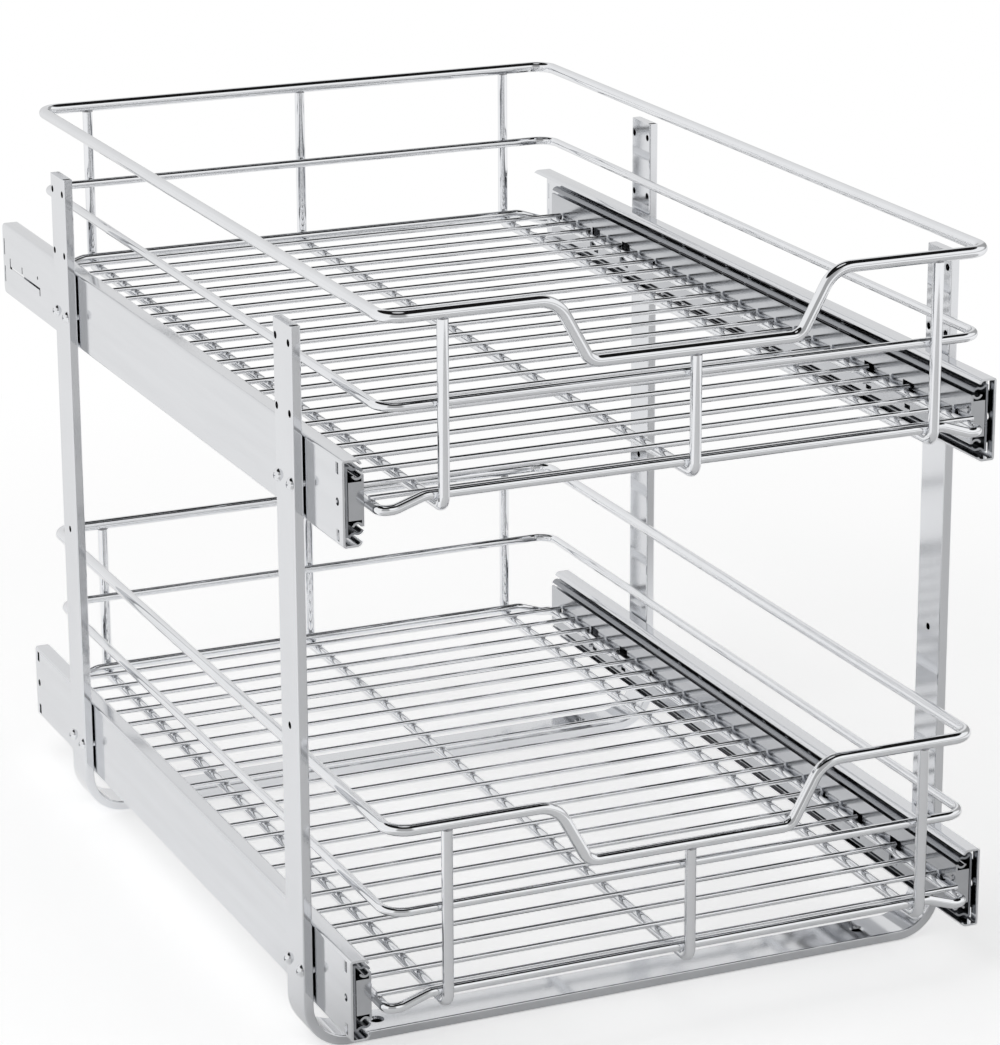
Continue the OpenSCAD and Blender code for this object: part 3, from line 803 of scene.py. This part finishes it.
def cross_tree():
    tree, start, end = new_group(
        "row_of_cross_wires", "GeometryNodeTree",
        [("Geometry", "NodeSocketGeometry", None), ("Count", "NodeSocketInt", 24),
         ("First", "NodeSocketVector", (0, 0, 0)), ("Step", "NodeSocketFloat", 0.02),
         ("Length", "NodeSocketFloat", 0.3), ("Wire Diameter", "NodeSocketFloat", 0.003),
         ("Metal", "NodeSocketMaterial", None)],
        [("Geometry", "NodeSocketGeometry")])
    tree.is_modifier = True
    offset = add(tree, "ShaderNodeCombineXYZ", -400, -200)
    join(tree, start, "Step", offset, "Y")
    row = add(tree, "GeometryNodeMeshLine", -200, 0)
    join(tree, start, "Count", row, "Count")
    join(tree, start, "First", row, "Start Location")
    join(tree, offset, "Vector", row, "Offset")
    half = maths(tree, "MULTIPLY", -400, -400, start.outputs["Wire Diameter"], 0.5)
    rod = add(tree, "GeometryNodeMeshCylinder", -200, -300, Vertices=CROSS_STEPS)
    tree.links.new(half, rod.inputs["Radius"])
    join(tree, start, "Length", rod, "Depth")
    lay = add(tree, "GeometryNodeInstanceOnPoints", 0, 0)
    lay.inputs["Rotation"].default_value = (0, math.pi / 2, 0)
    join(tree, row, "Mesh", lay, "Points")
    join(tree, rod, "Mesh", lay, "Instance")
    real = add(tree, "GeometryNodeRealizeInstances", 200, 0)
    join(tree, lay, "Instances", real, "Geometry")
    give_metal(tree, 600, smooth_wire(tree, 400, real, "Geometry"), start, end)
    return tree


CROSS = cross_tree()


def make_cross_wires(tier):
    name = f"{tier}_cross_wires_row"
    first = metres((0, CROSS_Y0, SLIDE_Z[tier] + CROSS_Z))
    step, length, diameter = metres((CROSS_STEP, 2 * CROSS_END, CROSS_D))
    piece = bake(name, bpy.data.meshes.new(name), CROSS,
                 {"Count": CROSS_N, "First": first, "Step": step, "Length": length,
                  "Wire Diameter": diameter, "Metal": chrome_wire})
    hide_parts(f"{tier}_cross_wires")
    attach(piece, f"{tier}_basket")


for tier in TIERS:
    make_cross_wires(tier)

# %% [markdown]
# ## Welds
#
# Where two wires cross, the welder presses them into each other and a small
# flat nugget of metal squeezes out round the contact. They are tiny, but their
# dark dots give the basket its scale.


# %% Tree: weld nuggets on points
NUGGET_VARIES = (0.88, 1.12)


def weld_tree():
    tree, start, end = new_group(
        "weld_nuggets", "GeometryNodeTree",
        [("Geometry", "NodeSocketGeometry", None), ("Seed", "NodeSocketInt", 3),
         ("Metal", "NodeSocketMaterial", None)],
        [("Geometry", "NodeSocketGeometry")])
    tree.is_modifier = True
    blob = add(tree, "GeometryNodeMeshIcoSphere", -200, -200, Radius=1.0)
    blob.inputs["Subdivisions"].default_value = 2
    size = add(tree, "GeometryNodeInputNamedAttribute", -400, -200)
    size.data_type = "FLOAT_VECTOR"
    size.inputs["Name"].default_value = "nugget_size"
    vary = add(tree, "FunctionNodeRandomValue", -400, -400)
    vary.data_type = "FLOAT"
    for socket, limit in zip(vary.inputs[2:4], NUGGET_VARIES):   # its float Min and Max
        socket.default_value = limit
    join(tree, start, "Seed", vary, "Seed")
    scaled = add(tree, "ShaderNodeVectorMath", -200, -400)
    scaled.operation = "SCALE"
    join(tree, size, "Attribute", scaled, 0)
    tree.links.new(vary.outputs[1], scaled.inputs["Scale"])
    laid = add(tree, "GeometryNodeInstanceOnPoints", 0, 0)
    join(tree, start, "Geometry", laid, "Points")
    join(tree, blob, "Mesh", laid, "Instance")
    join(tree, scaled, "Vector", laid, "Scale")
    real = add(tree, "GeometryNodeRealizeInstances", 200, 0)
    join(tree, laid, "Instances", real, "Geometry")
    smooth = add(tree, "GeometryNodeSetShadeSmooth", 400, 0)
    join(tree, real, "Geometry", smooth, "Geometry")
    give_metal(tree, 600, smooth, start, end)
    return tree


WELDS = weld_tree()

# %% Make the welds
WELD_SEED = 3
# half sizes of a nugget along X, Y and Z, in millimetres
CROSS_ON_LONG = (1.5, 1.7, 0.45)
CROSS_ON_SIDE = (1.4, 1.7, 0.45)
LONG_UNDER_RIM = (3.2, 2.9, 0.7)
RING_ON_LONG = (1.9, 0.6, 1.9)
RAIL_ON_LONG = (2.0, 0.6, 1.9)
RIM_WELD_LIFT = 0.1


def weld_points(zc):
    """Where the wires touch, with the half sizes of the nugget there."""
    found = []
    on_long = zc + LONG_Z + LONG_D / 2 - WELD_SINK / 2
    on_side = zc + CROSS_Z - CROSS_D / 2
    for k in range(CROSS_N):
        y = CROSS_Y0 + k * CROSS_STEP
        found += [((x, y, on_long), CROSS_ON_LONG) for x in LONG_ROW]
        found += [((side * SIDE_X, y, on_side), CROSS_ON_SIDE) for side in (-1, 1)]
    under_rim = zc + RIM_Z - RIM_D / 2
    for x in LONG_ROW:
        for inwards, y in ((1, FRONT_Y), (-1, REAR_Y)):
            drop = SCOOP_DROP if x == 0 and inwards == 1 else 0
            face = y + inwards * (LONG_D / 2 - WELD_SINK / 2)
            found += [((x, y, under_rim - drop + RIM_WELD_LIFT), LONG_UNDER_RIM),
                      ((x, face, zc + RING_Z), RING_ON_LONG),
                      ((x, face, zc + RAIL_Z), RAIL_ON_LONG)]
    return found


def make_welds(tier):
    name = f"{tier}_basket_welds"
    found = weld_points(SLIDE_Z[tier])
    mesh = bpy.data.meshes.new(name + "_points")
    mesh.from_pydata([metres(place) for place, size in found], [], [])
    layer = mesh.attributes.new("nugget_size", "FLOAT_VECTOR", "POINT")
    layer.data.foreach_set("vector", [v for place, size in found for v in metres(size)])
    piece = bake(name, mesh, WELDS, {"Seed": WELD_SEED, "Metal": weld_metal})
    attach(piece, f"{tier}_basket")


for tier in TIERS:
    make_welds(tier)
